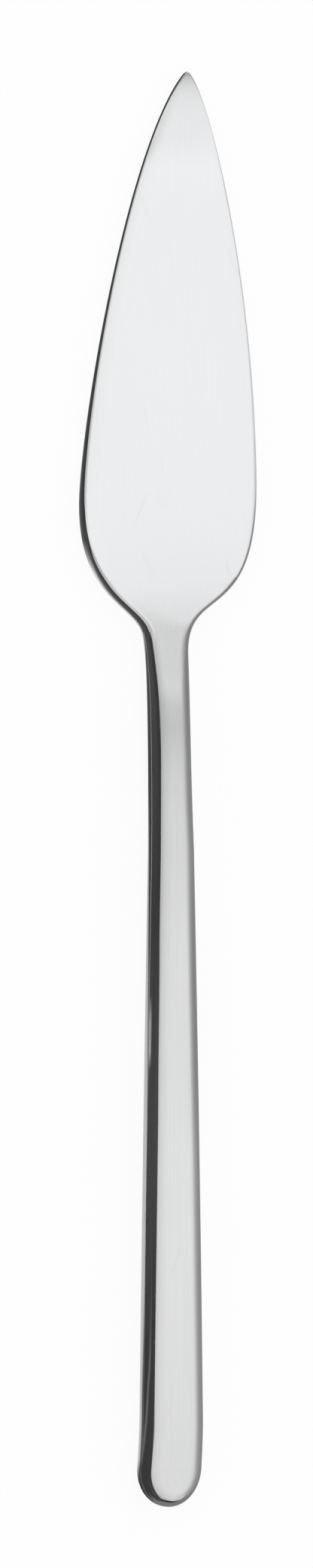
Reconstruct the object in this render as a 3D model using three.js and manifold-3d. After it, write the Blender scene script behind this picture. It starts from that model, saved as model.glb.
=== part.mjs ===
import * as THREE from 'three';
import { mergeVertices } from 'three/addons/utils/BufferGeometryUtils.js';
import Module from 'manifold-3d';

// All sizes are in millimetres. The knife lies along Y with its tip towards +Y and the table at Z = 0.
const HANDLE_LENGTH = 128; // butt to the joint with the blade
const BLADE_LENGTH = 82; // joint to tip

// Blade: plan outline. Each edge runs from the tip out to its widest point, in again to the neck and
// on to the handle's taper. Outs, rises and falls are how far a curve keeps the direction of its end.
const BLADE_WIDTH = 27.4;
const TIP_OFFSET = 2.95; // tip, to the right of the handle's axis
const NOSE_RADIUS = 0.42; // rounding of the tip
const BELLY = {
  side: -1,
  tipOut: 9.2,
  tipFall: 10.3,
  widestAhead: 18.2, // of the joint
  widestRise: 10.7,
  widestFall: 14,
  neckHalf: 4.02,
  neckBack: 0.95, // behind the joint
  neckSlope: 0.23,
  neckRise: 4.45,
  neckFall: 4.3,
};
const BACK = {
  side: 1,
  tipOut: 3.8,
  tipFall: 3.7,
  widestAhead: 21.2,
  widestRise: 28,
  widestFall: 21.4,
  neckHalf: 2.63,
  neckBack: 4,
  neckSlope: 0,
  neckRise: 11,
  neckFall: 15.9,
};

// Blade: thickness
const TIP_THICKNESS = 0.9;
const ROOT_THICKNESS = 3.3;
const ROOT_AHEAD = 8; // the full root thickness is reached this far ahead of the joint
const THINNING_POWER = 3; // how late the blade thickens from the tip to the root
const EDGE_SHARE = 0.8; // depth of the blade's edge rounding, as a share of its half thickness

// Handle
const HANDLE_THICKNESS = 6.1;
const HANDLE_THINNING = 0.3; // lost over the thinning span, away from the thickest part
const THICKEST_AT = 30; // from the butt
const THINNING_SPAN = 80;
const BUTT_WIDTH = 9.3;
const NECK_WIDTH = 5;
const HANDLE_SWELL = 0.2; // how far the sides bow out of a straight taper
const BUTT_ROUND = 5.6; // length of the half-elliptical butt
const BUTT_SET = 13; // length over which the handle bends to its butt
const BUTT_DROOP = 0.5; // fall of the top over that length
const BUTT_LEAN = 0.4; // turn to the left over that length
const TAPER_BACK = 33; // the neck curves join the plain taper this far behind the joint
const TAPER_EASE = 2.5; // length over which they lean into it
const HANDLE_ROLL = 2.2; // depth of the handle's edge rounding
const ROLL_POWER = 2.4; // 2 is a circular rounding, more is fuller
const LEAST_ROLL = 0.2; // smallest rounding inside the handle
const NECK_AHEAD = 6.8; // the neck starts to swell this far ahead of the joint
const NECK_SWELL_LENGTH = 27; // the blade's thickness grows to the handle's over this length
const NECK_SWELL_POWER = 0.68; // below 1 the swell is steepest near the blade
const NECK_ARCH = 0.45; // hollow under the neck

// Joints
const SHELL_WALL = 0.6;
const SEAM_SHARE = 0.2; // height of the shells' seam above the middle, as a share of the half thickness
const BRAZE_GAP = 0.2;
const FILLING_CLEARANCE = 0.3;
const FILLING_BACK = 12; // the filling ends this far behind the joint
const TANG_LENGTH = 62;
const TANG_WIDTH = 2.2;
const TANG_END_WIDTH = 1.7;
const TANG_CLEARANCE = 0.35; // above and below the tang in the shells' mouth
const TANG_ROOTED = 3; // the tang starts this far inside the blade's shoulder
const NOTCH_RADIUS = 0.8;
const NOTCH_FIRST = 24; // first notch, behind the joint
const NOTCH_PITCH = 12;
const NOTCH_COUNT = 3;

// Facets
const CORNER_STEPS = 6;
const BLADE_STEPS = 44;
const HANDLE_STEPS = 38;
const BUTT_STEPS = 9;
const TANG_STEPS = 16;
const CURVE_POINTS = 80;
const NOTCH_FACETS = 20;
const SLOPE_STEP = 0.01; // over which an edge's direction is measured
const WELD = 1e-4;

const length = HANDLE_LENGTH + BLADE_LENGTH;
const taperStart = HANDLE_LENGTH - TAPER_BACK;
const mouth = HANDLE_LENGTH - BRAZE_GAP;

// Share of the butt in the handle's bend: 0 on the straight handle, 1 at the very end.
function buttShare(s) {
  return THREE.MathUtils.smoothstep(BUTT_SET - s, 0, BUTT_SET);
}

// Half width of the plainly tapered handle at a distance from the butt.
function taperHalf(s) {
  const u = (s - BUTT_ROUND) / (HANDLE_LENGTH - BUTT_ROUND);
  return THREE.MathUtils.lerp(BUTT_WIDTH, NECK_WIDTH, u) / 2 + 4 * HANDLE_SWELL * u * (1 - u);
}

// One edge of the plan, from the tip to the start of the plain taper: out to the widest point, in to
// the neck, and on to the taper.
function edgeLine(edge) {
  const at = (x, s) => new THREE.Vector2(x, s);
  const tip = at(TIP_OFFSET, length);
  const widest = at((edge.side * BLADE_WIDTH) / 2, HANDLE_LENGTH + edge.widestAhead);
  const neck = at(edge.side * edge.neckHalf, HANDLE_LENGTH - edge.neckBack);
  const neckWay = at(edge.side * edge.neckSlope, 1);
  const taper = at(edge.side * taperHalf(taperStart), taperStart);
  const taperWay = at(edge.side * (taperHalf(taperStart + 1) - taperHalf(taperStart)), 1);
  const curves = [
    new THREE.CubicBezierCurve(
      tip,
      at(tip.x + edge.side * edge.tipOut, tip.y - edge.tipFall),
      at(widest.x, widest.y + edge.widestRise),
      widest,
    ),
    new THREE.CubicBezierCurve(
      widest,
      at(widest.x, widest.y - edge.widestFall),
      neck.clone().addScaledVector(neckWay, edge.neckRise),
      neck,
    ),
    new THREE.CubicBezierCurve(
      neck,
      neck.clone().addScaledVector(neckWay, -edge.neckFall),
      taper.clone().addScaledVector(taperWay, TAPER_EASE),
      taper,
    ),
  ];
  const points = curves.flatMap((curve) => curve.getPoints(CURVE_POINTS));
  return { side: edge.side, widest: widest.y, points };
}

const belly = edgeLine(BELLY);
const back = edgeLine(BACK);

// Where an edge lies across the knife. The nose is rounded by reading the edge a little behind the tip.
function edgeAt(line, s) {
  if (s <= taperStart) return line.side * taperHalf(s) - BUTT_LEAN * buttShare(s);
  const fromTip = length - s;
  const read = length - Math.sqrt(fromTip * fromTip + 2 * NOSE_RADIUS * fromTip);
  const i = Math.max(1, line.points.findIndex((p) => p.y < read || p.y === taperStart));
  const [a, b] = [line.points[i - 1], line.points[i]];
  const share = a.y === b.y ? 0 : (a.y - read) / (a.y - b.y);
  return THREE.MathUtils.lerp(a.x, b.x, Math.min(1, share));
}

// Direction from an edge into the knife: square to the edge ahead of its widest point, and straight
// across behind it.
function inwardAt(line, s) {
  if (s <= line.widest) return new THREE.Vector2(-line.side, 0);
  if (s > length - SLOPE_STEP) return new THREE.Vector2(0, -1);
  const slope = (edgeAt(line, s + SLOPE_STEP / 2) - edgeAt(line, s - SLOPE_STEP / 2)) / SLOPE_STEP;
  return new THREE.Vector2(-line.side, line.side * slope).normalize();
}

function bladeHalf(s) {
  const u = THREE.MathUtils.clamp((length - s) / (BLADE_LENGTH - ROOT_AHEAD), 0, 1);
  return (TIP_THICKNESS + (ROOT_THICKNESS - TIP_THICKNESS) * u ** THINNING_POWER) / 2;
}

// Share of the handle in the thickness: 0 on the blade, 1 on the handle.
function neckShare(s) {
  const u = THREE.MathUtils.clamp((HANDLE_LENGTH + NECK_AHEAD - s) / NECK_SWELL_LENGTH, 0, 1);
  return THREE.MathUtils.smootherstep(u ** NECK_SWELL_POWER, 0, 1);
}

function topAt(s) {
  const thinning = HANDLE_THINNING * ((s - THICKEST_AT) / THINNING_SPAN) ** 2;
  const handle = HANDLE_THICKNESS - thinning - BUTT_DROOP * buttShare(s);
  return THREE.MathUtils.lerp(ROOT_THICKNESS / 2 + bladeHalf(s), handle, neckShare(s));
}

function underAt(s) {
  const share = neckShare(s);
  return (ROOT_THICKNESS / 2 - bladeHalf(s)) * (1 - share) + NECK_ARCH * 4 * share * (1 - share);
}

// What the section is at a distance from the butt: its middle height, half thickness and edge rounding.
function heights(s) {
  const edgeRoll = EDGE_SHARE * bladeHalf(s);
  return {
    middle: (topAt(s) + underAt(s)) / 2,
    half: (topAt(s) - underAt(s)) / 2,
    roll: THREE.MathUtils.lerp(edgeRoll, HANDLE_ROLL, neckShare(s)),
  };
}

// A station has a point on each edge and the way in from it. On the butt both travel round the end.
function station(s) {
  const sides = [back, belly].map((line) => ({
    edge: new THREE.Vector2(edgeAt(line, s), s),
    inward: inwardAt(line, s),
  }));
  return { sides, ...heights(s) };
}

function buttStation(turn) {
  const half = BUTT_WIDTH / 2;
  const [across, along] = [Math.cos(turn), Math.sin(turn)];
  const s = BUTT_ROUND * (1 - along);
  const sides = [1, -1].map((side) => ({
    edge: new THREE.Vector2(side * half * across - BUTT_LEAN * buttShare(s), s),
    inward: new THREE.Vector2((-side * across) / half, along / BUTT_ROUND).normalize(),
  }));
  return { sides, ...heights(s) };
}

// Stations from the butt forward, close together at the neck.
function handleStations(front) {
  const list = [];
  for (let i = 0; i < BUTT_STEPS; i += 1) list.push(buttStation((1 - i / BUTT_STEPS) * (Math.PI / 2)));
  for (let i = 0; i <= HANDLE_STEPS; i += 1) {
    const u = Math.sin((i / HANDLE_STEPS) * (Math.PI / 2));
    list.push(station(THREE.MathUtils.lerp(BUTT_ROUND, front, u)));
  }
  return list;
}

function bladeStations() {
  const list = [];
  for (let i = 0; i <= BLADE_STEPS; i += 1) {
    const u = Math.sin((i / BLADE_STEPS) * (Math.PI / 2)) ** 2;
    list.push(station(HANDLE_LENGTH + BLADE_LENGTH * u));
  }
  return list;
}

// One rounded corner of a section, from its rim (step 0) to the flat of the top or underside. The rim is
// a height from the middle: below zero the corner starts beyond the widest line and has a point on it.
function cornerPoint(at, side, way, step, inset, rim) {
  const reach = at.half - inset;
  const start = Math.sign(rim) * Math.asin((Math.abs(rim) / reach) ** (ROLL_POWER / 2));
  const turn = start < 0 && step > 0
    ? ((step - 1) / (CORNER_STEPS - 1)) * (Math.PI / 2)
    : THREE.MathUtils.lerp(start, Math.PI / 2, step / CORNER_STEPS);
  const out = step === CORNER_STEPS ? 0 : Math.cos(turn) ** (2 / ROLL_POWER);
  const up = Math.sign(turn) * Math.abs(Math.sin(turn)) ** (2 / ROLL_POWER);
  const depth = inset + Math.max(at.roll - inset, LEAST_ROLL) * (1 - out);
  const { edge, inward } = at.sides[side];
  return new THREE.Vector3(
    edge.x + inward.x * depth,
    edge.y + inward.y * depth - length / 2,
    at.middle + way * reach * up,
  );
}

// Upper (way 1) or lower (way -1) part of a section, from the right rim to the left one.
function halfSection(at, way, inset, rim) {
  const steps = Array.from({ length: CORNER_STEPS + 1 }, (_, k) => k);
  return [
    ...steps.map((k) => cornerPoint(at, 0, way, k, inset, rim)),
    ...steps.reverse().map((k) => cornerPoint(at, 1, way, k, inset, rim)),
  ];
}

function fullSection(at, inset) {
  return [...halfSection(at, 1, inset, 0), ...halfSection(at, -1, inset, 0).reverse().slice(1, -1)];
}

// Closed skin through a row of equal rings. Each end is closed by a fan, by a strip for a ring that
// runs out and back, or by nothing where the ring has folded onto itself.
function loft(rings, startCap, endCap) {
  const count = rings[0].length;
  const triangles = [];
  for (let i = 0; i + 1 < rings.length; i += 1) {
    for (let j = 0; j < count; j += 1) {
      const a = i * count + j;
      const b = i * count + ((j + 1) % count);
      triangles.push([a, b, b + count], [a, b + count, a + count]);
    }
  }
  const cap = (kind, base, flip) => {
    const found = [];
    if (kind === 'fan') for (let j = 1; j + 1 < count; j += 1) found.push([0, j, j + 1]);
    if (kind === 'strip') {
      for (let j = 0; j + 1 < count / 2; j += 1) {
        found.push([j, j + 1, count - 2 - j], [j, count - 2 - j, count - 1 - j]);
      }
    }
    for (const [a, b, c] of found) {
      triangles.push(flip ? [base + a, base + c, base + b] : [base + a, base + b, base + c]);
    }
  };
  cap(startCap, 0, true);
  cap(endCap, (rings.length - 1) * count, false);
  return skin(rings.flat(), triangles);
}

// A welded geometry without collapsed triangles, faces outward.
function skin(points, triangles) {
  const raw = new THREE.BufferGeometry().setFromPoints(points);
  raw.setIndex(triangles.flat());
  const welded = mergeVertices(raw, WELD);
  const index = welded.index.array;
  const kept = [];
  for (let i = 0; i < index.length; i += 3) {
    const [a, b, c] = [index[i], index[i + 1], index[i + 2]];
    if (a !== b && b !== c && c !== a) kept.push([a, b, c]);
  }
  const place = (i) => new THREE.Vector3().fromBufferAttribute(welded.attributes.position, i);
  const volume = kept.reduce((sum, [a, b, c]) => sum + place(a).dot(place(b).cross(place(c))), 0);
  welded.setIndex((volume < 0 ? kept.map(([a, b, c]) => [a, c, b]) : kept).flat());
  return welded;
}

const wasm = await Module();
wasm.setup();

function toSolid(geometry) {
  const bare = geometry.clone();
  bare.deleteAttribute('normal');
  bare.deleteAttribute('uv');
  const welded = mergeVertices(bare, WELD);
  const vertProperties = new Float32Array(welded.attributes.position.array);
  const triVerts = new Uint32Array(welded.index.array);
  return new wasm.Manifold(new wasm.Mesh({ numProp: 3, vertProperties, triVerts }));
}

function toGeometry(solid) {
  const mesh = solid.getMesh();
  const geometry = new THREE.BufferGeometry();
  geometry.setAttribute('position', new THREE.BufferAttribute(new Float32Array(mesh.vertProperties), 3));
  geometry.setIndex(Array.from(mesh.triVerts));
  return geometry;
}

// Tang: a flat bar that follows the middle of the handle. The slot in the filling is the same bar, larger.
const mouthHeights = heights(HANDLE_LENGTH);
const tangThickness = 2 * (mouthHeights.half - SHELL_WALL - TANG_CLEARANCE);

function tangCentre(s) {
  return new THREE.Vector3((edgeAt(back, s) + edgeAt(belly, s)) / 2, s - length / 2, heights(s).middle);
}

function tangHalfWidth(s) {
  const u = THREE.MathUtils.clamp((HANDLE_LENGTH - s) / TANG_LENGTH, 0, 1);
  return THREE.MathUtils.lerp(TANG_WIDTH, TANG_END_WIDTH, u) / 2;
}

function tangBar(from, to, clearance) {
  const rings = [];
  for (let i = 0; i <= TANG_STEPS; i += 1) {
    const s = THREE.MathUtils.lerp(from, to, i / TANG_STEPS);
    const centre = tangCentre(s);
    const half = tangHalfWidth(s) + clearance;
    const rise = tangThickness / 2 + clearance;
    const corners = [[1, 1], [-1, 1], [-1, -1], [1, -1]];
    rings.push(corners.map(([x, z]) => centre.clone().add(new THREE.Vector3(x * half, 0, z * rise))));
  }
  return toSolid(loft(rings, 'fan', 'fan'));
}

// Upright round cutters along the tang's edges, on alternate sides.
function notches(radius, outward) {
  return Array.from({ length: NOTCH_COUNT }, (_, i) => {
    const s = HANDLE_LENGTH - NOTCH_FIRST - i * NOTCH_PITCH;
    const side = i % 2 ? -1 : 1;
    const pin = new THREE.CylinderGeometry(radius, radius, HANDLE_THICKNESS, NOTCH_FACETS);
    pin.rotateX(Math.PI / 2);
    const centre = tangCentre(s);
    pin.translate(centre.x + side * (tangHalfWidth(s) + outward), centre.y, centre.z);
    return toSolid(pin);
  });
}

function blade() {
  const body = toSolid(loft(bladeStations().map((at) => fullSection(at, 0)), 'fan', ''));
  const bar = tangBar(HANDLE_LENGTH - TANG_LENGTH, HANDLE_LENGTH + TANG_ROOTED, 0);
  const tang = notches(NOTCH_RADIUS, 0).reduce((solid, cutter) => solid.subtract(cutter), bar);
  return toGeometry(body.add(tang));
}

// Half of the hollow handle: the outer skin, the rim, the inner skin and the open mouth.
function shell(way) {
  const rings = handleStations(mouth).map((at) => {
    const rim = BRAZE_GAP / 2 + way * SEAM_SHARE * at.half;
    return [...halfSection(at, way, 0, rim), ...halfSection(at, way, SHELL_WALL, rim).reverse()];
  });
  return loft(rings, '', 'strip');
}

// Filler metal between the shells' rims, from the neck round the butt and back to the neck.
function sideBraze() {
  const across = (at, side) => {
    const seam = SEAM_SHARE * at.half;
    const [low, high] = [seam - BRAZE_GAP / 2, seam + BRAZE_GAP / 2];
    const corners = [[0, high], [0, low], [SHELL_WALL, low], [SHELL_WALL, high]];
    return corners.map(([inset, rim]) => cornerPoint(at, side, 1, 0, inset, rim));
  };
  const list = handleStations(mouth);
  const right = list.map((at) => across(at, 0)).reverse();
  const left = list.slice(1).map((at) => across(at, 1));
  return loft([...right, ...left], 'fan', 'fan');
}

// Filler metal ring between the shells' mouth and the blade's shoulder.
function neckBraze() {
  const [rear, front] = [station(mouth), station(HANDLE_LENGTH)];
  const rings = [
    fullSection(rear, SHELL_WALL),
    fullSection(rear, 0),
    fullSection(front, 0),
    fullSection(front, SHELL_WALL),
    fullSection(rear, SHELL_WALL),
  ];
  return loft(rings, '', '');
}

// Cement core: clear of the shells all round, slotted for the tang, with keys that reach into its notches.
function filling() {
  const front = HANDLE_LENGTH - FILLING_BACK;
  const rings = handleStations(front).map((at) => fullSection(at, SHELL_WALL + FILLING_CLEARANCE));
  const rear = HANDLE_LENGTH - TANG_LENGTH - FILLING_CLEARANCE;
  const slot = tangBar(rear, HANDLE_LENGTH, FILLING_CLEARANCE);
  const keys = notches(NOTCH_RADIUS - FILLING_CLEARANCE, FILLING_CLEARANCE);
  const keyed = keys.reduce((solid, key) => solid.subtract(key), slot);
  return toGeometry(toSolid(loft(rings, '', 'fan')).subtract(keyed));
}

const knife = new THREE.Group();
knife.name = 'fish_knife';

function addPiece(name, geometry, color, roughness, metalness) {
  geometry.computeVertexNormals();
  const mesh = new THREE.Mesh(geometry, new THREE.MeshStandardMaterial({ color, roughness, metalness }));
  mesh.name = name;
  knife.add(mesh);
}

addPiece('blade', blade(), 0xd9dadb, 0.16, 1);
addPiece('upper_shell', shell(1), 0xd2d3d4, 0.16, 1);
addPiece('lower_shell', shell(-1), 0xd2d3d4, 0.16, 1);
addPiece('side_braze', sideBraze(), 0xdcd8c8, 0.3, 1);
addPiece('neck_braze', neckBraze(), 0xdcd8c8, 0.3, 1);
addPiece('handle_filling', filling(), 0xa39a8c, 0.9, 0);

export default knife;
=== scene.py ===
import bmesh
import bpy
import numpy as np
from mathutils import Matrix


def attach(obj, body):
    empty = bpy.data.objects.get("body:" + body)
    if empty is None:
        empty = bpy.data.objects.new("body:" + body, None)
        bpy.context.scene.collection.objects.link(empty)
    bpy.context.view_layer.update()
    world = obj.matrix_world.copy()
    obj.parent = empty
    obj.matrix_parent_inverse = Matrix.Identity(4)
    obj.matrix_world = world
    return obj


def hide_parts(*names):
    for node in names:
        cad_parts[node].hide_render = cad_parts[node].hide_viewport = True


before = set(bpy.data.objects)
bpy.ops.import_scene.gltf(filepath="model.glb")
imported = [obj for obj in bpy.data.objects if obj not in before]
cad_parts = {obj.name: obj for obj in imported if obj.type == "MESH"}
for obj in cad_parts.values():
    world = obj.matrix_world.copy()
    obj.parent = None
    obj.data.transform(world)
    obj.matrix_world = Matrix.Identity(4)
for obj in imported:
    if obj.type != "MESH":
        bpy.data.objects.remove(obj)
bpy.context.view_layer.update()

# Lower shell
# The lower half of the hollow handle: stainless sheet pressed into a tray that tapers from a round
# butt to the neck, where it rises to the blade. Its rim is brazed to the upper shell's.
MM = 0.001
HANDLE_LENGTH = 128.0
BLADE_LENGTH = 82.0
LENGTH = HANDLE_LENGTH + BLADE_LENGTH
BUTT_WIDTH = 9.3
BUTT_ROUND = 5.6
BUTT_SET = 13.0
BUTT_DROOP = 0.5
BUTT_LEAN = 0.4
NECK_WIDTH = 5.0
HANDLE_SWELL = 0.2
TAPER_START = HANDLE_LENGTH - 33.0
TAPER_EASE = 2.5


def handle_taper(s):
    """Half width of the handle, s mm from the butt: a straight taper, bowed out by a parabola."""
    u = (s - BUTT_ROUND) / (HANDLE_LENGTH - BUTT_ROUND)
    return (BUTT_WIDTH + (NECK_WIDTH - BUTT_WIDTH) * u) / 2 + 4 * HANDLE_SWELL * u * (1 - u)


def smooth_step(value, low, high):
    """0 below low, 1 above high, and a cubic between them."""
    u = np.clip((value - low) / (high - low), 0, 1)
    return u * u * (3 - 2 * u)


def butt_share(s):
    """Share of the butt in the handle's bend: 0 on the straight handle, 1 at the very end."""
    return smooth_step(BUTT_SET - s, 0, BUTT_SET)


CURVE_POINTS = 6001


def curve_between(first, leave, arrive, last):
    """Cubic curve from the first point to the last, leaving and arriving in line with the two others."""
    t = np.linspace(0, 1, CURVE_POINTS)
    weights = np.stack([(1 - t) ** 3, 3 * t * (1 - t) ** 2, 3 * t**2 * (1 - t), t**3], axis=1)
    return weights @ np.array([first, leave, arrive, last])


BLADE_WIDTH = 27.396
TIP_OFFSET = 2.95


def plan_edge(side, tip_reach, widest_ahead, widest_pull, neck, neck_slope, neck_pull):
    """One edge of the plan, as points across and along: three curves from the plain taper to the neck,
    out to the blade's widest point and in to the tip, each keeping the direction of the one before. The
    pulls are how far a curve holds that direction behind and ahead of a joint."""
    tip = np.array([TIP_OFFSET, LENGTH])
    widest = np.array([side * BLADE_WIDTH / 2, HANDLE_LENGTH + widest_ahead])
    neck = np.array([side * neck[0], HANDLE_LENGTH - neck[1]])
    neck_way = np.array([side * neck_slope, 1])
    taper = np.array([side * handle_taper(TAPER_START), TAPER_START])
    taper_way = np.array([side * (handle_taper(TAPER_START + 1) - handle_taper(TAPER_START)), 1])
    along = np.array([0, 1])
    behind = curve_between(taper, taper + taper_way * TAPER_EASE, neck - neck_way * neck_pull[0], neck)
    shoulder = curve_between(neck, neck + neck_way * neck_pull[1], widest - along * widest_pull[0], widest)
    arrive = tip + np.array(tip_reach) * [side, -1]
    ahead = curve_between(widest, widest + along * widest_pull[1], arrive, tip)
    return {"side": side, "widest": widest[1], "line": np.concatenate([behind, shoulder, ahead])}


BELLY = plan_edge(
    side=-1,
    tip_reach=(9.2, 10.3),
    widest_ahead=18.2,
    widest_pull=(14.0, 10.7),
    neck=(4.02, 0.95),
    neck_slope=0.23,
    neck_pull=(4.3, 4.45),
)
BACK = plan_edge(
    side=1,
    tip_reach=(3.8, 3.7),
    widest_ahead=21.2,
    widest_pull=(21.4, 28.0),
    neck=(2.63, 4.0),
    neck_slope=0.0,
    neck_pull=(15.9, 11.0),
)
NOSE_RADIUS = 0.42


def edge_across(edge, s):
    """Where an edge lies across the knife. The nose is rounded by reading the edge a little behind the
    tip, at the root of the distance squared plus twice the radius times the distance."""
    from_tip = np.clip(LENGTH - s, 0, None)
    read = LENGTH - np.sqrt(from_tip * (from_tip + 2 * NOSE_RADIUS))
    across = np.interp(read, edge["line"][:, 1], edge["line"][:, 0])
    plain = edge["side"] * handle_taper(s) - BUTT_LEAN * butt_share(s)
    return np.where(s <= TAPER_START, plain, across)


SLOPE_STEP = 0.01


def edge_inward(edge, s):
    """Way from an edge into the knife: straight across behind the widest point, square to the edge
    ahead of it, and straight back at the tip."""
    half = SLOPE_STEP / 2
    slope = (edge_across(edge, s + half) - edge_across(edge, s - half)) / SLOPE_STEP
    slope = np.where(s <= edge["widest"], 0, slope)
    way = np.stack([-edge["side"] * np.ones_like(s), edge["side"] * slope], axis=-1)
    way = np.where((s > LENGTH - SLOPE_STEP)[:, None], [0, -1], way)
    return way / np.linalg.norm(way, axis=-1, keepdims=True)


TIP_THICKNESS = 0.9
ROOT_THICKNESS = 3.3
ROOT_AHEAD = 8.0
BLADE_ROLL_SHARE = 0.8
HANDLE_THICKNESS = 6.1
HANDLE_HIGHEST = 30.0
HANDLE_FALL = 0.3
HANDLE_FALL_LENGTH = 80.0
NECK_AHEAD = 6.8
NECK_SWELL_LENGTH = 27.0
NECK_SWELL_POWER = 0.68
NECK_ARCH = 0.45
HANDLE_ROLL = 2.2


def section_heights(s):
    """Middle height, half thickness and edge rounding, s mm from the butt. The blade thickens with the
    cube of the distance from the tip, the handle falls by a square, and a smooth step joins the two,
    with its steep part drawn towards the blade by a power."""
    from_tip = np.clip((LENGTH - s) / (BLADE_LENGTH - ROOT_AHEAD), 0, 1)
    blade_half = (TIP_THICKNESS + (ROOT_THICKNESS - TIP_THICKNESS) * from_tip**3) / 2
    u = np.clip((HANDLE_LENGTH + NECK_AHEAD - s) / NECK_SWELL_LENGTH, 0, 1) ** NECK_SWELL_POWER
    share = u**3 * (u * (6 * u - 15) + 10)
    fall = HANDLE_FALL * ((s - HANDLE_HIGHEST) / HANDLE_FALL_LENGTH) ** 2
    handle_top = HANDLE_THICKNESS - fall - BUTT_DROOP * butt_share(s)
    top = (ROOT_THICKNESS / 2 + blade_half) * (1 - share) + handle_top * share
    under = (ROOT_THICKNESS / 2 - blade_half) * (1 - share) + NECK_ARCH * 4 * share * (1 - share)
    roll = BLADE_ROLL_SHARE * blade_half * (1 - share) + HANDLE_ROLL * share
    return {"middle": (top + under) / 2, "half": (top - under) / 2, "roll": roll}


def straight_stations(s):
    """Sections across the knife at the distances s: two edge points, two ways in, and the heights."""
    edges = np.stack([np.stack([edge_across(e, s), s], axis=-1) for e in (BACK, BELLY)], axis=1)
    inward = np.stack([edge_inward(e, s) for e in (BACK, BELLY)], axis=1)
    return {"edge": edges, "inward": inward, **section_heights(s)}


def butt_stations(turn):
    """Sections that fan round the butt: both edge points run along a half ellipse, square to it."""
    side = np.array([1, -1])
    across = side * np.cos(turn)[:, None]
    along = np.sin(turn)[:, None] * np.ones(2)
    s = BUTT_ROUND * (1 - np.sin(turn))
    lean = BUTT_LEAN * butt_share(s)[:, None]
    edges = np.stack([across * BUTT_WIDTH / 2 - lean, BUTT_ROUND * (1 - along)], axis=-1)
    inward = np.stack([-across / (BUTT_WIDTH / 2), along / BUTT_ROUND], axis=-1)
    inward /= np.linalg.norm(inward, axis=-1, keepdims=True)
    return {"edge": edges, "inward": inward, **section_heights(s)}


BUTT_STEPS = 48
HANDLE_STEPS = 240


def handle_stations(front):
    """Stations round the butt, evenly turned, and on to the front, spaced by a sine so that they come
    closer together towards the neck."""
    round_butt = butt_stations(np.linspace(np.pi / 2, 0, BUTT_STEPS + 1)[:-1])
    share = np.sin(np.linspace(0, np.pi / 2, HANDLE_STEPS + 1))
    ahead = straight_stations(BUTT_ROUND + (front - BUTT_ROUND) * share)
    return {key: np.concatenate([round_butt[key], ahead[key]]) for key in ahead}


ROLL_POWER = 2.4
LEAST_ROLL = 0.2
CORNER_STEPS = 14
FLAT_STEPS = 12


def half_skin(at, way, inset=0.0, rim=0.0):
    """Upper (way 1) or lower (way -1) part of each section, from the right rim to the left: a superellipse
    over each edge and a straight line between them, moved in by the inset. The rim is a height from the
    middle, and below zero the part starts on the other side of the widest line."""
    reach = at["half"] - inset
    start = np.sign(rim) * np.arcsin((np.abs(rim) / reach) ** (ROLL_POWER / 2))
    share = np.linspace(0, 1, CORNER_STEPS + 1)
    turn = start[:, None] * (1 - share) + np.pi / 2 * share
    out = np.abs(np.cos(turn)) ** (2 / ROLL_POWER)
    up = np.sign(turn) * np.abs(np.sin(turn)) ** (2 / ROLL_POWER)
    roll = np.maximum(at["roll"] - inset, LEAST_ROLL)
    depth = inset + roll[:, None] * (1 - out)
    plan = at["edge"][:, :, None] + at["inward"][:, :, None] * depth[:, None, :, None]
    height = at["middle"][:, None] + way * reach[:, None] * up
    height = np.broadcast_to(height[:, None, :, None], plan.shape[:3] + (1,))
    corner = np.concatenate([plan, height], axis=-1)
    right, left = corner[:, 0], corner[:, 1, ::-1]
    share = np.linspace(0, 1, FLAT_STEPS + 1)[1:-1, None]
    flat = right[:, -1:] * (1 - share) + left[:, :1] * share
    return np.concatenate([right, flat, left], axis=1) - [0, LENGTH / 2, 0]


WELD_REACH = 1e-7
CREASE_ANGLE = 0.9


def closed_piece(name, rings, capped):
    """Mesh through a row of closed rings, in mm: quads between neighbouring rings, and a ladder of quads
    over the rings that are capped. Rings that fold shut are welded, and faces are turned outwards."""
    rows, count = rings.shape[:2]
    i, j = np.meshgrid(np.arange(rows - 1), np.arange(count), indexing="ij")
    beside = (j + 1) % count
    row, ahead = i * count, (i + 1) * count
    quads = np.stack([row + j, row + beside, ahead + beside, ahead + j], axis=-1)
    k = np.arange(count // 2 - 1)
    ladder = np.stack([k, k + 1, count - 2 - k, count - 1 - k], axis=-1)
    faces = np.concatenate([quads.reshape(-1, 4)] + [ladder + ring * count for ring in capped])
    mesh = bpy.data.meshes.new(name)
    mesh.from_pydata((rings.reshape(-1, 3) * MM).tolist(), [], faces.tolist())
    shape = bmesh.new()
    shape.from_mesh(mesh)
    bmesh.ops.remove_doubles(shape, verts=shape.verts, dist=WELD_REACH)
    bmesh.ops.recalc_face_normals(shape, faces=shape.faces)
    shape.to_mesh(mesh)
    shape.free()
    mesh.shade_smooth()
    mesh.set_sharp_from_angle(angle=CREASE_ANGLE)
    piece = bpy.data.objects.new(name, mesh)
    bpy.context.scene.collection.objects.link(piece)
    return piece


SHELL_WALL = 0.6
BRAZE_GAP = 0.2
SEAM_SHARE = 0.2


def pressed_shell(name, way):
    """Half of the hollow handle: the outer skin and the same skin moved in by the wall, joined at the rim
    and at the open mouth."""
    at = handle_stations(HANDLE_LENGTH - BRAZE_GAP)
    rim = BRAZE_GAP / 2 + way * SEAM_SHARE * at["half"]
    outer = half_skin(at, way, 0, rim)
    inner = half_skin(at, way, SHELL_WALL, rim)
    return closed_piece(name, np.concatenate([outer, inner[:, ::-1]], axis=1), [len(outer) - 1])


def add_node(tree, kind, **inputs):
    """A shader node with its input sockets set by name."""
    node = tree.nodes.new("ShaderNode" + kind)
    for socket, value in inputs.items():
        node.inputs[socket.replace("_", " ")].default_value = value
    return node


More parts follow.
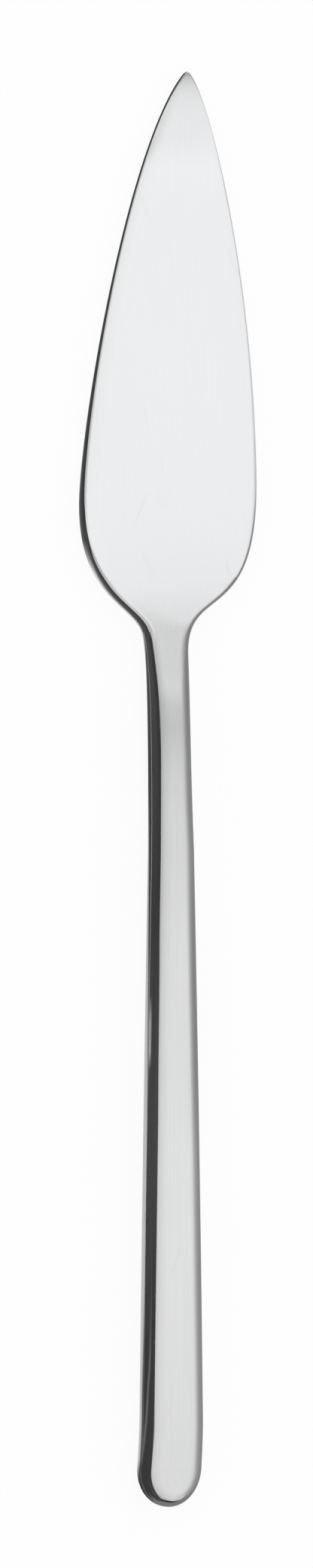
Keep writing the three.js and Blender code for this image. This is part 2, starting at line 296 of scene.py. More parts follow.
def streaks(tree, place, cells, turn, detail):
    """Noise on object coordinates, with so many cells per metre each way, turned about the vertical."""
    cell = tuple(1 / count for count in cells)
    lay = add_node(tree, "Mapping", Scale=cell, Rotation=(0, 0, turn))
    lay.vector_type = "TEXTURE"
    noise = add_node(tree, "TexNoise", Scale=1.0, Detail=detail)
    tree.links.new(place.outputs["Object"], lay.inputs["Vector"])
    tree.links.new(lay.outputs["Vector"], noise.inputs["Vector"])
    return noise.outputs["Fac"]


def mapped(tree, value, low, high, to_low, to_high):
    """A value carried from one range to another and held at its ends."""
    node = add_node(tree, "MapRange", From_Min=low, From_Max=high, To_Min=to_low, To_Max=to_high)
    tree.links.new(value, node.inputs["Value"])
    return node.outputs["Result"]


def summed(tree, *values):
    """The sum of several values."""
    total = values[0]
    for value in values[1:]:
        node = add_node(tree, "Math")
        tree.links.new(total, node.inputs[0])
        tree.links.new(value, node.inputs[1])
        total = node.outputs[0]
    return total


LINE_CELLS = (5200, 60, 5200)
CLOUD_CELLS = (130, 45, 130)
HAIR_CELLS = (2600, 70, 2600)
HAIR_TURNS = (0.5, -0.35, 0.12)
HAIR_RELIEF = -0.8
POLISHED_DULL = (0.754, 0.762, 0.758, 1)
POLISHED_PALE = (0.824, 0.832, 0.828, 1)
SATIN_DULL = (0.92, 0.929, 0.942, 1)
SATIN_PALE = (0.965, 0.974, 0.987, 1)
SATIN_ROUGHER = 0.2
STEEL_RELIEF = 4e-7


def steel(name, satin=False):
    """Stainless steel, polished. Tone comes from fine lines along the knife and cloudy buffing marks, and
    roughness from both and from hairline scratches. Satin faces are paler and rougher, and are blended in
    by the piece's own satin attribute."""
    material = bpy.data.materials.new(name)
    material.use_nodes = True
    tree = material.node_tree
    shader = tree.nodes["Principled BSDF"]
    shader.inputs["Metallic"].default_value = 1.0
    place = add_node(tree, "TexCoord")
    lines = streaks(tree, place, LINE_CELLS, 0.0, 3.0)
    clouds = streaks(tree, place, CLOUD_CELLS, 0.0, 2.0)
    scratches = [streaks(tree, place, HAIR_CELLS, turn, 1.0) for turn in HAIR_TURNS]
    hairs = [mapped(tree, noise, 0.735, 0.76, 0.0, 1.0) for noise in scratches]
    hair = summed(tree, *hairs)
    tone = summed(tree, mapped(tree, lines, 0.25, 0.75, 0.0, 0.6), mapped(tree, clouds, 0.3, 0.7, 0.0, 0.4))
    polished = add_node(tree, "ValToRGB")
    polished.color_ramp.elements[0].color = POLISHED_DULL
    polished.color_ramp.elements[1].color = POLISHED_PALE
    tree.links.new(tone, polished.inputs["Fac"])
    colour = polished.outputs["Color"]
    rough = summed(
        tree,
        mapped(tree, clouds, 0.3, 0.7, 0.1, 0.15),
        mapped(tree, lines, 0.3, 0.7, -0.01, 0.01),
        mapped(tree, hair, 0.0, 1.0, 0.0, 0.1),
    )
    if satin:
        face = add_node(tree, "Attribute")
        face.attribute_name = "satin"
        brushed = add_node(tree, "ValToRGB")
        brushed.color_ramp.elements[0].color = SATIN_DULL
        brushed.color_ramp.elements[1].color = SATIN_PALE
        tree.links.new(tone, brushed.inputs["Fac"])
        blend = tree.nodes.new("ShaderNodeMix")
        blend.data_type = "RGBA"
        tree.links.new(face.outputs["Fac"], blend.inputs["Factor"])
        tree.links.new(colour, blend.inputs["A"])
        tree.links.new(brushed.outputs["Color"], blend.inputs["B"])
        colour = blend.outputs["Result"]
        rough = summed(tree, rough, mapped(tree, face.outputs["Fac"], 0.0, 1.0, 0.0, SATIN_ROUGHER))
    tree.links.new(colour, shader.inputs["Base Color"])
    tree.links.new(rough, shader.inputs["Roughness"])
    relief = summed(tree, lines, mapped(tree, hair, 0.0, 1.0, 0.0, HAIR_RELIEF))
    bump = add_node(tree, "Bump", Strength=1.0, Distance=STEEL_RELIEF)
    tree.links.new(relief, bump.inputs["Height"])
    tree.links.new(bump.outputs["Normal"], shader.inputs["Normal"])
    return material


shell_steel = steel("shell_steel")
lower_shell = pressed_shell("lower_shell_skin", -1)
lower_shell.data.materials.append(shell_steel)
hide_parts("lower_shell")
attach(lower_shell, "root")

# Upper shell
# The upper half of the handle, pressed from the same sheet. Its flat top, rounded sides and rising
# neck are buffed together with the lower half after brazing.
upper_shell = pressed_shell("upper_shell_skin", 1)
upper_shell.data.materials.append(shell_steel)
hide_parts("upper_shell")
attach(upper_shell, "root")

# Side braze
# Silver solder run between the two rims, from the neck round the butt and back. It is softer than
# the steel, so buffing leaves it a hair below the surface and more matt.
BRAZE_HOLLOW = 0.08
BRAZE_STEPS = 6


def skin_depth(at, lift, inset):
    """How far in from the edge a section's skin lies at a height above its middle: the superellipse read
    sideways, moved in by the inset."""
    reach = (at["half"] - inset)[:, None]
    roll = np.maximum(at["roll"] - inset, LEAST_ROLL)[:, None]
    return inset + roll * (1 - (1 - np.abs(lift / reach) ** ROLL_POWER) ** (1 / ROLL_POWER))


def braze_strip():
    """A bar carried along the rims: the outer face follows the section and dips by a parabola, the inner
    face lies a wall's thickness deeper."""
    at = handle_stations(HANDLE_LENGTH - BRAZE_GAP)
    across = np.linspace(-1, 1, BRAZE_STEPS + 1)
    lift = SEAM_SHARE * at["half"][:, None] + across * BRAZE_GAP / 2
    outer = skin_depth(at, lift, 0) + BRAZE_HOLLOW * (1 - across**2)
    inner = skin_depth(at, lift, SHELL_WALL)
    depth = np.concatenate([outer, inner[:, ::-1]], axis=1)
    height = at["middle"][:, None] + np.concatenate([lift, lift[:, ::-1]], axis=1)
    plan = at["edge"][:, :, None] + at["inward"][:, :, None] * depth[:, None, :, None]
    height = np.broadcast_to(height[:, None, :, None], plan.shape[:3] + (1,))
    bar = np.concatenate([plan, height], axis=-1) - [0, LENGTH / 2, 0]
    rings = np.concatenate([bar[::-1, 0], bar[1:, 1]])
    return closed_piece("side_braze_line", rings, [0, len(rings) - 1])


PIT_CELLS = (9000, 6000, 9000)
PATCH_CELLS = (700, 250, 700)


def solder(name, dull, pale, roughness, pit_depth):
    """Silver solder: metal with a fine pitted bump, whose tone and roughness vary in patches."""
    material = bpy.data.materials.new(name)
    material.use_nodes = True
    tree = material.node_tree
    shader = tree.nodes["Principled BSDF"]
    shader.inputs["Metallic"].default_value = 1.0
    place = add_node(tree, "TexCoord")
    pits = streaks(tree, place, PIT_CELLS, 0.0, 3.0)
    patches = streaks(tree, place, PATCH_CELLS, 0.0, 2.0)
    ramp = add_node(tree, "ValToRGB")
    ramp.color_ramp.elements[0].color = (*dull, 1)
    ramp.color_ramp.elements[1].color = (*pale, 1)
    tree.links.new(patches, ramp.inputs["Fac"])
    tree.links.new(ramp.outputs["Color"], shader.inputs["Base Color"])
    tree.links.new(mapped(tree, patches, 0.3, 0.7, *roughness), shader.inputs["Roughness"])
    bump = add_node(tree, "Bump", Strength=1.0, Distance=pit_depth)
    tree.links.new(pits, bump.inputs["Height"])
    tree.links.new(bump.outputs["Normal"], shader.inputs["Normal"])
    return material


braze_silver = solder(
    "braze_silver",
    dull=(0.72, 0.71, 0.69),
    pale=(0.84, 0.83, 0.81),
    roughness=(0.26, 0.4),
    pit_depth=2e-6,
)
side_braze = braze_strip()
side_braze.data.materials.append(braze_silver)
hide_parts("side_braze")
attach(side_braze, "root")

# Handle filling
# Cement poured into the brazed handle to give it weight and to hold the tang. It isn't seen in use,
# so the solid from the CAD model stays and gets a sandy, porous finish.
GRAIN_CELLS = (2500, 2500, 2500)
PORE_CELLS = 900.0
CEMENT_DARK = (0.22, 0.2, 0.17, 1)
CEMENT_PALE = (0.48, 0.45, 0.4, 1)
CEMENT_RELIEF = 5e-5


def cement(name):
    """Set cement: warm grey with sandy grains and darker pores, matt, with a coarse bump."""
    material = bpy.data.materials.new(name)
    material.use_nodes = True
    tree = material.node_tree
    shader = tree.nodes["Principled BSDF"]
    place = add_node(tree, "TexCoord")
    grains = streaks(tree, place, GRAIN_CELLS, 0.0, 5.0)
    pores = add_node(tree, "TexVoronoi", Scale=PORE_CELLS)
    tree.links.new(place.outputs["Object"], pores.inputs["Vector"])
    pitted = mapped(tree, pores.outputs["Distance"], 0.05, 0.3, -0.35, 0.0)
    tone = summed(tree, grains, pitted)
    ramp = add_node(tree, "ValToRGB")
    ramp.color_ramp.elements[0].color = CEMENT_DARK
    ramp.color_ramp.elements[1].color = CEMENT_PALE
    tree.links.new(tone, ramp.inputs["Fac"])
    tree.links.new(ramp.outputs["Color"], shader.inputs["Base Color"])
    tree.links.new(mapped(tree, grains, 0.3, 0.7, 0.82, 0.95), shader.inputs["Roughness"])
    bump = add_node(tree, "Bump", Strength=0.6, Distance=CEMENT_RELIEF)
    tree.links.new(tone, bump.inputs["Height"])
    tree.links.new(bump.outputs["Normal"], shader.inputs["Normal"])
    return material


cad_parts["handle_filling"].material_slots[0].material = cement("handle_cement")

# Blade with tang
# One forging of stainless steel: a broad leaf, ground thin towards the tip, and a narrow notched tang
# that is set in the handle's cement. The faces are satin and the edges are polished.
TANG_LENGTH = 62.0
TANG_WIDTH = 2.2
TANG_END_WIDTH = 1.7
TANG_CLEARANCE = 0.35
TANG_ROLL = 0.25
NOTCH_RADIUS = 0.8
NOTCH_FIRST = 24.0
NOTCH_PITCH = 12.0
NOTCH_COUNT = 3


def tang_stations(s):
    """Sections of the tang: a tapering bar along the handle's middle, with round notches in its edges
    that take the depth of a circle from the right, left and right edge in turn."""
    width = TANG_WIDTH + (TANG_END_WIDTH - TANG_WIDTH) * (HANDLE_LENGTH - s) / TANG_LENGTH
    axis = (edge_across(BACK, s) + edge_across(BELLY, s)) / 2
    notch = HANDLE_LENGTH - NOTCH_FIRST - NOTCH_PITCH * np.arange(NOTCH_COUNT)[:, None]
    bite = np.sqrt(np.clip(NOTCH_RADIUS**2 - (s - notch) ** 2, 0, None))
    right = axis + width / 2 - bite[0::2].sum(axis=0)
    left = axis - width / 2 + bite[1::2].sum(axis=0)
    edges = np.stack([np.stack([right, s], axis=-1), np.stack([left, s], axis=-1)], axis=1)
    inward = np.broadcast_to(np.array([[-1.0, 0], [1.0, 0]]), edges.shape)
    mouth = section_heights(np.array([HANDLE_LENGTH]))
    middle = section_heights(s)["middle"]
    half = np.full_like(s, mouth["half"][0] - SHELL_WALL - TANG_CLEARANCE)
    roll = np.full_like(s, TANG_ROLL)
    return {"edge": edges, "inward": inward, "middle": middle, "half": half, "roll": roll}


TANG_STEPS = 248
LEAF_STEPS = 320


def forged_blade():
    """The tang from its end to the shoulder, a flat step out to the blade's own section at the joint, and
    on to the tip, with stations spaced by a squared sine, closest together at the shoulder and the tip."""
    tang = tang_stations(np.linspace(HANDLE_LENGTH - TANG_LENGTH, HANDLE_LENGTH, TANG_STEPS + 1))
    share = np.sin(np.linspace(0, np.pi / 2, LEAF_STEPS + 1)) ** 2
    leaf = straight_stations(HANDLE_LENGTH + BLADE_LENGTH * share)
    at = {key: np.concatenate([tang[key], leaf[key]]) for key in leaf}
    top = half_skin(at, 1)
    under = half_skin(at, -1)
    return closed_piece("blade_leaf", np.concatenate([top, under[:, ::-1]], axis=1), [0])


SATIN_LEVEL = (0.9, 0.99)
SATIN_START = (-1.5, 3.5)
SATIN_SLANT = 0.4
SATIN_JOINT = 1.6
SATIN_TIP = (-4, 10)
MARGIN_WIDTH = 1.8
MARGIN_START = (10, 32)


def brush_faces(piece):
    """Writes the satin attribute: 1 on the flat faces of the leaf, taken down by smooth steps where the
    normal leans over at the rounded edges, along a slanting line at the neck, from the joint, towards the
    tip and over the belly's margin, which are polished."""
    mesh = piece.data
    place = np.empty(3 * len(mesh.vertices), np.float32)
    mesh.vertices.foreach_get("co", place)
    turned = np.empty(3 * len(mesh.vertices), np.float32)
    mesh.vertex_normals.foreach_get("vector", turned)
    across = place[0::3] / MM
    along = place[1::3] / MM + LENGTH / 2
    ahead = along - HANDLE_LENGTH
    satin = smooth_step(np.abs(turned[2::3]), *SATIN_LEVEL)
    satin *= smooth_step(ahead + SATIN_SLANT * across, *SATIN_START) * smooth_step(ahead, 0, SATIN_JOINT)
    satin *= smooth_step(LENGTH - along, *SATIN_TIP)
    margin = 1 - smooth_step(across - edge_across(BELLY, along), 0, MARGIN_WIDTH)
    satin *= 1 - margin * smooth_step(ahead, *MARGIN_START)
    mesh.attributes.new("satin", "FLOAT", "POINT").data.foreach_set("value", satin.astype(np.float32))


blade_steel = steel("blade_steel", satin=True)
blade = forged_blade()
brush_faces(blade)
blade.data.materials.append(blade_steel)
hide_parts("blade")
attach(blade, "root")

# Neck braze
# A ring of the same solder that closes the shells' mouth against the blade's shoulder. It is buffed
# together with the steel on both sides, so it hardly shows.
RING_DIP = 0.001
RING_STEPS = 4


def ring_at(s, inset):
    """The whole section at one distance from the butt, moved in by the inset."""
    at = straight_stations(np.array([s]))
    return np.concatenate([half_skin(at, 1, inset)[0], half_skin(at, -1, inset)[0, ::-1]])


def braze_ring():
    """A band carried round the section at the joint: the outer face dips by a parabola between the mouth
    and the shoulder, the inner face lies a wall's thickness deeper."""
    along = np.linspace(-1, 1, RING_STEPS + 1)
    s = HANDLE_LENGTH + (along - 1) * BRAZE_GAP / 2
    dips = RING_DIP * (1 - along**2)
    outer = [ring_at(value, dip) for value, dip in zip(s, dips)]
    inner = [ring_at(value, SHELL_WALL) for value in s[::-1]]
    rings = np.stack(outer + inner + outer[:1])
    return closed_piece("neck_braze_ring", rings, [])


braze_buffed = solder(
    "braze_buffed",
    dull=(0.758, 0.765, 0.76),
    pale=(0.818, 0.825, 0.82),
    roughness=(0.11, 0.15),
    pit_depth=2e-7,
)
neck_braze = braze_ring()
neck_braze.data.materials.append(braze_buffed)
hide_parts("neck_braze")
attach(neck_braze, "root")

# Floor and light
# A pale table under an even white tent. The table shows white to the camera and in the steel, and
# keeps a faint shadow of the knife.
FLOOR_DROP = 0.00005
FLOOR_REACH = 12
FLOOR_GREY = (0.9, 0.9, 0.9, 1)
FLOOR_GLOW = 0.92
WHITE = (1, 1, 1, 1)


def flat_sheet(name, corners, faces=((0, 1, 2, 3),)):
    """A sheet of one or more four-sided faces, given by corners in metres."""
    mesh = bpy.data.meshes.new(name)
    mesh.from_pydata(corners, [], faces)
    sheet = bpy.data.objects.new(name, mesh)
    bpy.context.scene.collection.objects.link(sheet)
    return sheet


def level(left, right, rear, front, z):
    """Corners of a sheet that lies level."""
    return [(left, rear, z), (right, rear, z), (right, front, z), (left, front, z)]


def seen_white(tree):
    """1 for rays from the camera, from gloss and through glass, 0 for the rest."""
    path = add_node(tree, "LightPath")
    kinds = [path.outputs[kind] for kind in ("Is Camera Ray", "Is Glossy Ray", "Is Transmission Ray")]
    node = add_node(tree, "Clamp")
    tree.links.new(summed(tree, *kinds), node.inputs["Value"])
    return node.outputs["Result"]


floor = flat_sheet("floor", level(-FLOOR_REACH, FLOOR_REACH, -FLOOR_REACH, FLOOR_REACH, -FLOOR_DROP))
floor_paper = bpy.data.materials.new("floor_paper")
floor_paper.use_nodes = True
tree = floor_paper.node_tree
tree.nodes.remove(tree.nodes["Principled BSDF"])
paper = add_node(tree, "BsdfDiffuse", Color=FLOOR_GREY)
glow = add_node(tree, "Emission", Color=WHITE, Strength=1.0)
blend = add_node(tree, "MixShader")
tree.links.new(mapped(tree, seen_white(tree), 0.0, 1.0, 0.0, FLOOR_GLOW), blend.inputs["Fac"])
tree.links.new(paper.outputs[0], blend.inputs[1])
tree.links.new(glow.outputs[0], blend.inputs[2])
tree.links.new(blend.outputs[0], tree.nodes["Material Output"].inputs["Surface"])
floor.data.materials.append(floor_paper)

world = bpy.data.worlds.new("white_tent")
world.use_nodes = True
world.node_tree.nodes["Background"].inputs["Color"].default_value = WHITE
world.node_tree.nodes["Background"].inputs["Strength"].default_value = 1.0
bpy.context.scene.world = world

# Reflector cards: painted reflections
# Glowing sheets round the table that light nothing and that only the steel mirrors: an uneven light
# ceiling, a black flag along the left, grey along the right, a shade over the tip and a dark strip behind
# the butt. Their shades are set place by place along the knife, so they paint the bright metal's edges,
# bands and pale patches as reflections.
CARD_SIDE = 0.55
TENT_TOP = 0.05
TENT_LEFT = -0.11
TENT_RIGHT = 0.0266
TENT_FRONT = 0.0255
TENT_REAR = -0.19
TENT_REAR_LEFT = -0.29
BUTT_BEHIND = -0.125


def card(name, corners, shade, faces=((0, 1, 2, 3),)):
    """A painted reflection: a sheet that is seen in gloss only and glows by its shade, a number or a
    function that grades it.
    """
    sheet = flat_sheet(name, corners, faces)
    sheet.visible_camera = False
    sheet.visible_diffuse = False
    sheet.visible_shadow = False
    material = bpy.data.materials.new(name + "_paper")
    material.use_nodes = True
    material.cycles.emission_sampling = "NONE"
    tree = material.node_tree
    tree.nodes.remove(tree.nodes["Principled BSDF"])
    glow = add_node(tree, "Emission", Color=WHITE)
    if callable(shade):
        tree.links.new(shade(tree), glow.inputs["Strength"])
    else:
        glow.inputs["Strength"].default_value = shade
    tree.links.new(glow.outputs[0], tree.nodes["Material Output"].inputs["Surface"])
    sheet.data.materials.append(material)
    return sheet


def graded(axis, stops):
    """A shade that runs smoothly through the values at the places given along an axis."""

    def build(tree):
        """A ramp with one stop for each value, read at the place along the axis."""
        place = add_node(tree, "TexCoord")
        split = add_node(tree, "SeparateXYZ")
        tree.links.new(place.outputs["Object"], split.inputs[0])
        low, high = stops[0][0], stops[-1][0]
        ramp = add_node(tree, "ValToRGB")
        ramp.color_ramp.interpolation = "EASE"
        while len(ramp.color_ramp.elements) < len(stops):
            ramp.color_ramp.elements.new(0.5)
        for element, (where, value) in zip(ramp.color_ramp.elements, stops):
            element.position = (where - low) / (high - low)
            element.color = (value, value, value, 1)
        tree.links.new(mapped(tree, split.outputs[axis], low, high, 0.0, 1.0), ramp.inputs["Fac"])
        return ramp.outputs["Color"]

    return build


def times(first, second):
    """The product of two shades."""

    def build(tree):
        """Both shades, multiplied."""
        node = add_node(tree, "Math")
        node.operation = "MULTIPLY"
        tree.links.new(first(tree), node.inputs[0])
        tree.links.new(second(tree), node.inputs[1])
        return node.outputs[0]

    return build


def upright(x, rear, front, low, high):
    """Corners of a card that stands along the knife."""
    return [(x, rear, low), (x, front, low), (x, front, high), (x, rear, high)]


def between(first, second):
    """Corners and faces of a card between two rows of points."""
    count = len(first)
    faces = [(k, k + 1, k + 1 + count, k + count) for k in range(count - 1)]
    return first + second, faces


# Painted reflections on the handle: the ceiling's and right card's shades are graded along and across the
# knife to lay its top's tones and its right side's grey band in the steel.
TENT_OVER_BUTT = -0.0607
tent_side = [
    (TENT_REAR_LEFT, TENT_OVER_BUTT),
    (-0.05, TENT_OVER_BUTT),
    (-0.04, -0.075),
    (-0.028, -0.079),
    (-0.018, TENT_LEFT),
    (-0.004, TENT_LEFT),
    (0.004, -0.085),
    (0.018, -0.085),
    (TENT_FRONT, -0.06),
]
left_row = [(x, y, TENT_TOP) for y, x in tent_side]
right_row = [(TENT_RIGHT, max(y, TENT_REAR), TENT_TOP) for y, _ in tent_side]
tent_corners, tent_faces = between(left_row, right_row)
tent_across = [
    (TENT_LEFT, 0.62),
    (-0.06, 0.645),
    (-0.045, 0.715),
    (-0.032, 0.785),
    (-0.011, 0.83),
    (0.009, 0.88),
    (0.016, 0.92),
    (TENT_RIGHT, 0.82),
]
tent_along = [
    (-0.24, 0.7),
    (-0.18, 0.75),
    (-0.13, 0.91),
    (-0.1, 0.985),
    (-0.06, 1.02),
    (-0.03, 0.99),
    (-0.004, 0.92),
    (0.002, 0.87),
    (0.008, 0.79),
    (0.014, 0.735),
    (0.019, 0.77),
    (TENT_FRONT, 0.92),
]
card(
    "handle_ceiling",
    tent_corners,
    times(graded("X", tent_across), graded("Y", tent_along)),
    tent_faces,
)
tent_right_along = [
    (-0.055, 1.0),
    (-0.04, 0.86),
    (-0.03, 0.83),
    (-0.02, 0.87),
    (-0.008, 0.97),
    (0.0, 0.9),
    (0.02, 0.75),
]
tent_upward = [(0.0, 0.3), (0.003, 0.31), (0.01, 0.34), (0.021, 0.42), (0.033, 0.6), (TENT_TOP, 0.81)]
card(
    "handle_right_card",
    upright(TENT_RIGHT, BUTT_BEHIND, TENT_FRONT, 0, TENT_TOP),
    times(graded("Z", tent_upward), graded("Y", tent_right_along)),
)
card("butt_ceiling", level(TENT_RIGHT, 0.14, TENT_REAR, BUTT_BEHIND, TENT_TOP), 0.7)
# Painted reflections on the neck and blade: far glowing sheets whose graded shades set the tones of the
# neck's slopes and the blade's faces.
NECK_TOP = 1.0
NECK_FRONT = 1.0
NECK_LEFT = -0.2
NECK_RIGHT = 0.9
card(
    "neck_card",
    level(NECK_LEFT, NECK_RIGHT, 0.14, NECK_FRONT, NECK_TOP),
    times(
        graded("Y", [(0.14, 1.0), (0.2, 0.99), (0.3, 0.8), (0.4, 0.82), (0.7, 0.85), (NECK_FRONT, 1.0)]),
        graded(
            "X",
            [(NECK_LEFT, 0.86), (0.05, 0.92), (0.36, 1.0), (0.53, 0.85), (0.81, 0.64), (NECK_RIGHT, 0.6)],
        ),
    ),
)
card(
    "neck_left_card",
    level(-2.4, NECK_LEFT, 0.05, NECK_FRONT, NECK_TOP),
    times(
        graded("Y", [(0.05, 1.0), (0.12, 0.88), (0.27, 0.81), (0.7, 0.88), (NECK_FRONT, 1.0)]),
        graded("X", [(-2.4, 0.62), (-1.2, 0.71), (-0.6, 0.8), (NECK_LEFT, 0.86)]),
    ),
)
card(
    "neck_right_card",
    upright(NECK_RIGHT, 0.13, 0.8, 0.2, NECK_TOP),
    graded("Z", [(0.2, 0.32), (0.65, 0.4), (NECK_TOP, 0.5)]),
)
# Painted reflections along the sides: a grey card on the right and a black flag on the left, with shades
# graded along the knife, for the grey and dark bands of the steel's sides.
CARD_END = 1.6
RIGHT_TOP = 0.256
card(
    "right_low_card",
    upright(CARD_SIDE, -CARD_END, CARD_END, 0, RIGHT_TOP),
    times(
        graded("Z", [(0.0, 0.32), (RIGHT_TOP, 0.39)]),
        graded("Y", [(-0.5, 0.15), (-0.25, 1.0), (0.04, 1.0), (0.06, 2.0)]),
    ),
)
flag_rim = [
    (-CARD_END, 0.5),
    (0.02, 0.46),
    (0.05, 0.46),
    (0.08, 0.32),
    (0.12, 0.28),
    (CARD_END, 0.28),
]
flag_foot = [(-CARD_SIDE, y, 0) for y, _ in flag_rim]
flag_top = [(-CARD_SIDE, y, z) for y, z in flag_rim]
flag_corners, flag_faces = between(flag_foot, flag_top)
flag_shade = [(-0.1, 0.05), (-0.085, 0.05), (-0.06, 0.08), (-0.035, 0.075), (-0.01, 0.045)]
card("left_flag", flag_corners, graded("Y", flag_shade), flag_faces)
# Painted reflection: a grey glowing sheet just over the tip, seen only in the steel, that darkens the last
# few mm of the blade.
TIP_LEFT = -0.01
TIP_RIGHT = 0.03
tip_shade = [
    (0.094, 0.78),
    (0.1005, 0.875),
    (0.102, 0.86),
    (0.103, 0.82),
    (0.104, 0.74),
    (0.105, 0.53),
    (0.106, 0.35),
]
tip_line = [(0.094, 0.024), (0.1005, 0.006), (0.11, 0.006)]
left_row = [(TIP_LEFT, y, z) for y, z in tip_line]
right_row = [(TIP_RIGHT, y, z) for y, z in tip_line]
tip_corners, tip_faces = between(left_row, right_row)
card("tip_card", tip_corners, graded("Y", tip_shade), tip_faces)


def painted(tree):
    """A shade read from the card's own attribute."""
    node = add_node(tree, "Attribute")
    node.attribute_name = "shade"
    return node.outputs["Fac"]


LYING_HEIGHT = 0.02
LYING_REAR = -200
LYING_FRONT = 400
LYING_STEPS = 1200


def lying_card(name, edge, rows):
    """A painted reflection: a glowing card just above the table along one side of the knife, seen only in
    the steel, through rows that follow the plan, which a half ellipse closes at the butt. A row's stops
    give places along the knife, and there the distance out from the plan, both in mm, and the shade."""
    s = np.linspace(LYING_REAR, LYING_FRONT, LYING_STEPS + 1)
    butt = np.sqrt(1 - (1 - np.clip(s / BUTT_ROUND, 0, 1)) ** 2)
    plan = edge_across(edge, np.clip(s, BUTT_ROUND, LENGTH)) * butt
    stops = [np.array(row).T for row in rows]
    across = np.stack([plan + edge["side"] * np.interp(s, where, gap) for where, gap, _ in stops])
    shade = np.stack([np.interp(s, where, value) for where, _, value in stops])
    along = np.broadcast_to(s - LENGTH / 2, across.shape)
    points = np.stack([across, along, np.full_like(across, LYING_HEIGHT)], axis=-1).reshape(-1, 3)
    i, k = np.meshgrid(np.arange(len(rows) - 1), np.arange(len(s) - 1), indexing="ij")
    first = i * len(s) + k
    faces = np.stack([first, first + 1, first + 1 + len(s), first + len(s)], axis=-1).reshape(-1, 4)
    sheet = card(name, (points * MM).tolist(), painted, faces.tolist())
    paint = sheet.data.attributes.new("shade", "FLOAT", "POINT")
    paint.data.foreach_set("value", shade.ravel().astype(np.float32))


# Painted reflections along the left side: each row is a distance out from the knife's left edge and a
# shade, given along the knife, for the light strip, the dark band, pale streaks and the pale patch at 64 to
# 75 mm that the steel shows.
under_left = [
    (-2, 4.0, 0.2),
    (0, -1.8, 0.1),
    (3.5, -1.8, 0.06),
    (7, -1.8, 0.62),
    (77, -1.8, 0.62),
    (97, -1.8, 0.42),
    (105, -1.8, 0.08),
    (119, -1.8, 0.08),
    (124, -1.8, 0.5),
    (128, -1.8, 0.85),
    (136, -1.8, 0.95),
    (141, -0.4, 0.2),
    (150, 0, 0.25),
    (165, 0, 0.13),
]
light_strip = [
    (-2, 5.0, 0.14),
    (0, 0.3, 0.08),
    (3.5, 0.5, 0.06),
    (7, 0.85, 0.62),
    (17, 0.85, 0.62),
    (33, 1.35, 0.6),
    (55, 1.35, 0.6),
    (77, 0.9, 0.6),
    (97, 0.2, 0.4),
    (105, 0.1, 0.08),
    (119, 0.1, 0.08),
    (124, 0.1, 0.4),
    (128, 0.4, 0.75),
    (136, 0.4, 0.85),
    (141, 0.2, 0.15),
    (150, 0.3, 0.25),
    (165, 0.3, 0.1),
]
dark_strip = [
    (-2, 8.0, 0.06),
    (0, 0.8, 0.05),
    (7, 1.2, 0.04),
    (17, 1.2, 0.04),
    (33, 1.7, 0.06),
    (55, 1.7, 0.07),
    (77, 1.25, 0.06),
    (97, 0.55, 0.06),
    (119, 0.4, 0.07),
    (124, 0.6, 0.08),
    (128, 1.2, 0.12),
    (136, 1.9, 0.4),
    (141, 1.0, 0.1),
    (165, 1.0, 0.06),
]
streak_reflection_near = [
    (-2, 9.0, 0.05),
    (0, 1.0, 0.05),
    (5.8, 1.25, 0.05),
    (11.6, 2.6, 0.05),
    (17.5, 5.5, 0.05),
    (22, 9.5, 0.05),
    (40, 12.0, 0.07),
    (60, 2.0, 0.07),
    (64, 2.0, 0.12),
    (66.5, 2.0, 0.42),
    (71, 2.0, 0.4),
    (75, 1.9, 0.07),
    (85, 6.0, 0.05),
    (128, 4.0, 0.08),
    (136, 4.5, 0.13),
    (141, 4.0, 0.06),
]
streak_reflection_middle = [
    (-2, 10.0, 0.05),
    (0, 1.5, 0.05),
    (5.8, 1.6, 0.15),
    (11.6, 4.3, 0.19),
    (17.5, 9.8, 0.19),
    (22, 22.0, 0.18),
    (30, 60.0, 0.09),
    (40, 40.0, 0.07),
    (60, 3.6, 0.07),
    (64, 3.6, 0.09),
    (66.5, 3.6, 0.42),
    (71, 3.6, 0.38),
    (75, 3.4, 0.06),
    (85, 60.0, 0.05),
]
streak_reflection_far = [
    (-2, 12.0, 0.05),
    (0, 3.0, 0.05),
    (5.8, 2.4, 0.05),
    (11.6, 7.5, 0.05),
    (17.5, 19.0, 0.05),
    (22, 100.0, 0.06),
    (30, 120.0, 0.07),
    (60, 5.8, 0.07),
    (75, 5.8, 0.06),
    (85, 120.0, 0.05),
]
left_end = [(0, 560.0, 0.05), (22, 560.0, 0.06), (85, 560.0, 0.05)]
left_rows = [under_left, light_strip, dark_strip, streak_reflection_near, streak_reflection_middle, streak_reflection_far, left_end]
lying_card("left_lying_card", BELLY, left_rows)
# Painted reflection along the right side: a grey card close to the knife, paler beside the blade.
right_near = [
    (-2, -4.0, 0.22),
    (0, -1.0, 0.25),
    (7, 0.3, 0.3),
    (140, 0.3, 0.3),
    (150, 0.1, 0.5),
    (158, 0.1, 0.75),
]
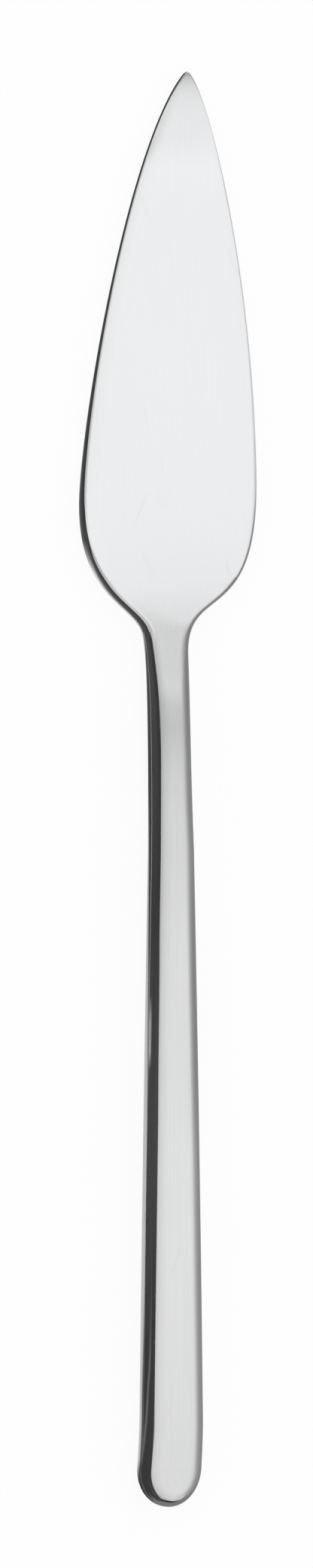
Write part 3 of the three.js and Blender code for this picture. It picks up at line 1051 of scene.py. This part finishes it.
right_end = [(7, 500.0, 0.3), (140, 500.0, 0.3), (150, 500.0, 0.5), (158, 500.0, 0.75)]
lying_card("right_lying_card", BACK, [right_near, right_end])
# Painted reflections behind the butt: grey and black glowing strips that draw the dark line and the grey
# crescent round the butt's end.
BUTT_WALL = -0.3
LINE_TOP = 0.087
SIDE_END = -0.024
butt_line = [(-0.01, 0.002), (0.04, 0.005), (0.1, 0.028), (CARD_SIDE, 0.041)]
low_foot = [(x, BUTT_WALL, 0) for x, _ in butt_line]
low_rim = [(x, BUTT_WALL, z) for x, z in butt_line]
low_corners, low_faces = between(low_foot, low_rim)
card("butt_low_card", low_corners, graded("X", [(-0.01, 0.22), (0.118, 0.25), (0.197, 0.4)]), low_faces)
line_foot = [(-CARD_SIDE, BUTT_WALL, 0), *low_rim]
line_rim = [(x, y, LINE_TOP) for x, y, _ in line_foot]
line_corners, line_faces = between(line_foot, line_rim)
line_shade = [(-0.1, 0.06), (-0.01, 0.02), (0.06, 0.02), (0.138, 0.15)]
card("butt_line_card", line_corners, graded("X", line_shade), line_faces)
side_foot = [(-CARD_SIDE, BUTT_WALL, LINE_TOP), (SIDE_END, BUTT_WALL, LINE_TOP)]
side_rim = [(-CARD_SIDE, BUTT_WALL, 0.4), (SIDE_END, BUTT_WALL, 0.106)]
side_corners, side_faces = between(side_foot, side_rim)
card("butt_side_card", side_corners, 0.05, side_faces)

# Camera
# It stands above the middle of the knife and leans 20 degrees to its left, as in the photograph. The
# long lens is far enough away to leave hardly any perspective.
TILT = np.radians(20)
DISTANCE = 1.5
VIEW_HEIGHT = 0.2297
SENSOR = 36.0
aim = np.array([-0.001046, 0.00068, -0.000381])
lens = bpy.data.cameras.new("camera")
lens.sensor_width = SENSOR
lens.lens = SENSOR * DISTANCE / VIEW_HEIGHT
lens.clip_end = 100.0
camera = bpy.data.objects.new("camera", lens)
camera.location = aim + DISTANCE * np.array([-np.sin(TILT), 0, np.cos(TILT)])
camera.rotation_euler = (0, -TILT, 0)
bpy.context.scene.collection.objects.link(camera)
bpy.context.scene.camera = camera
bpy.context.scene.view_settings.view_transform = "Standard"
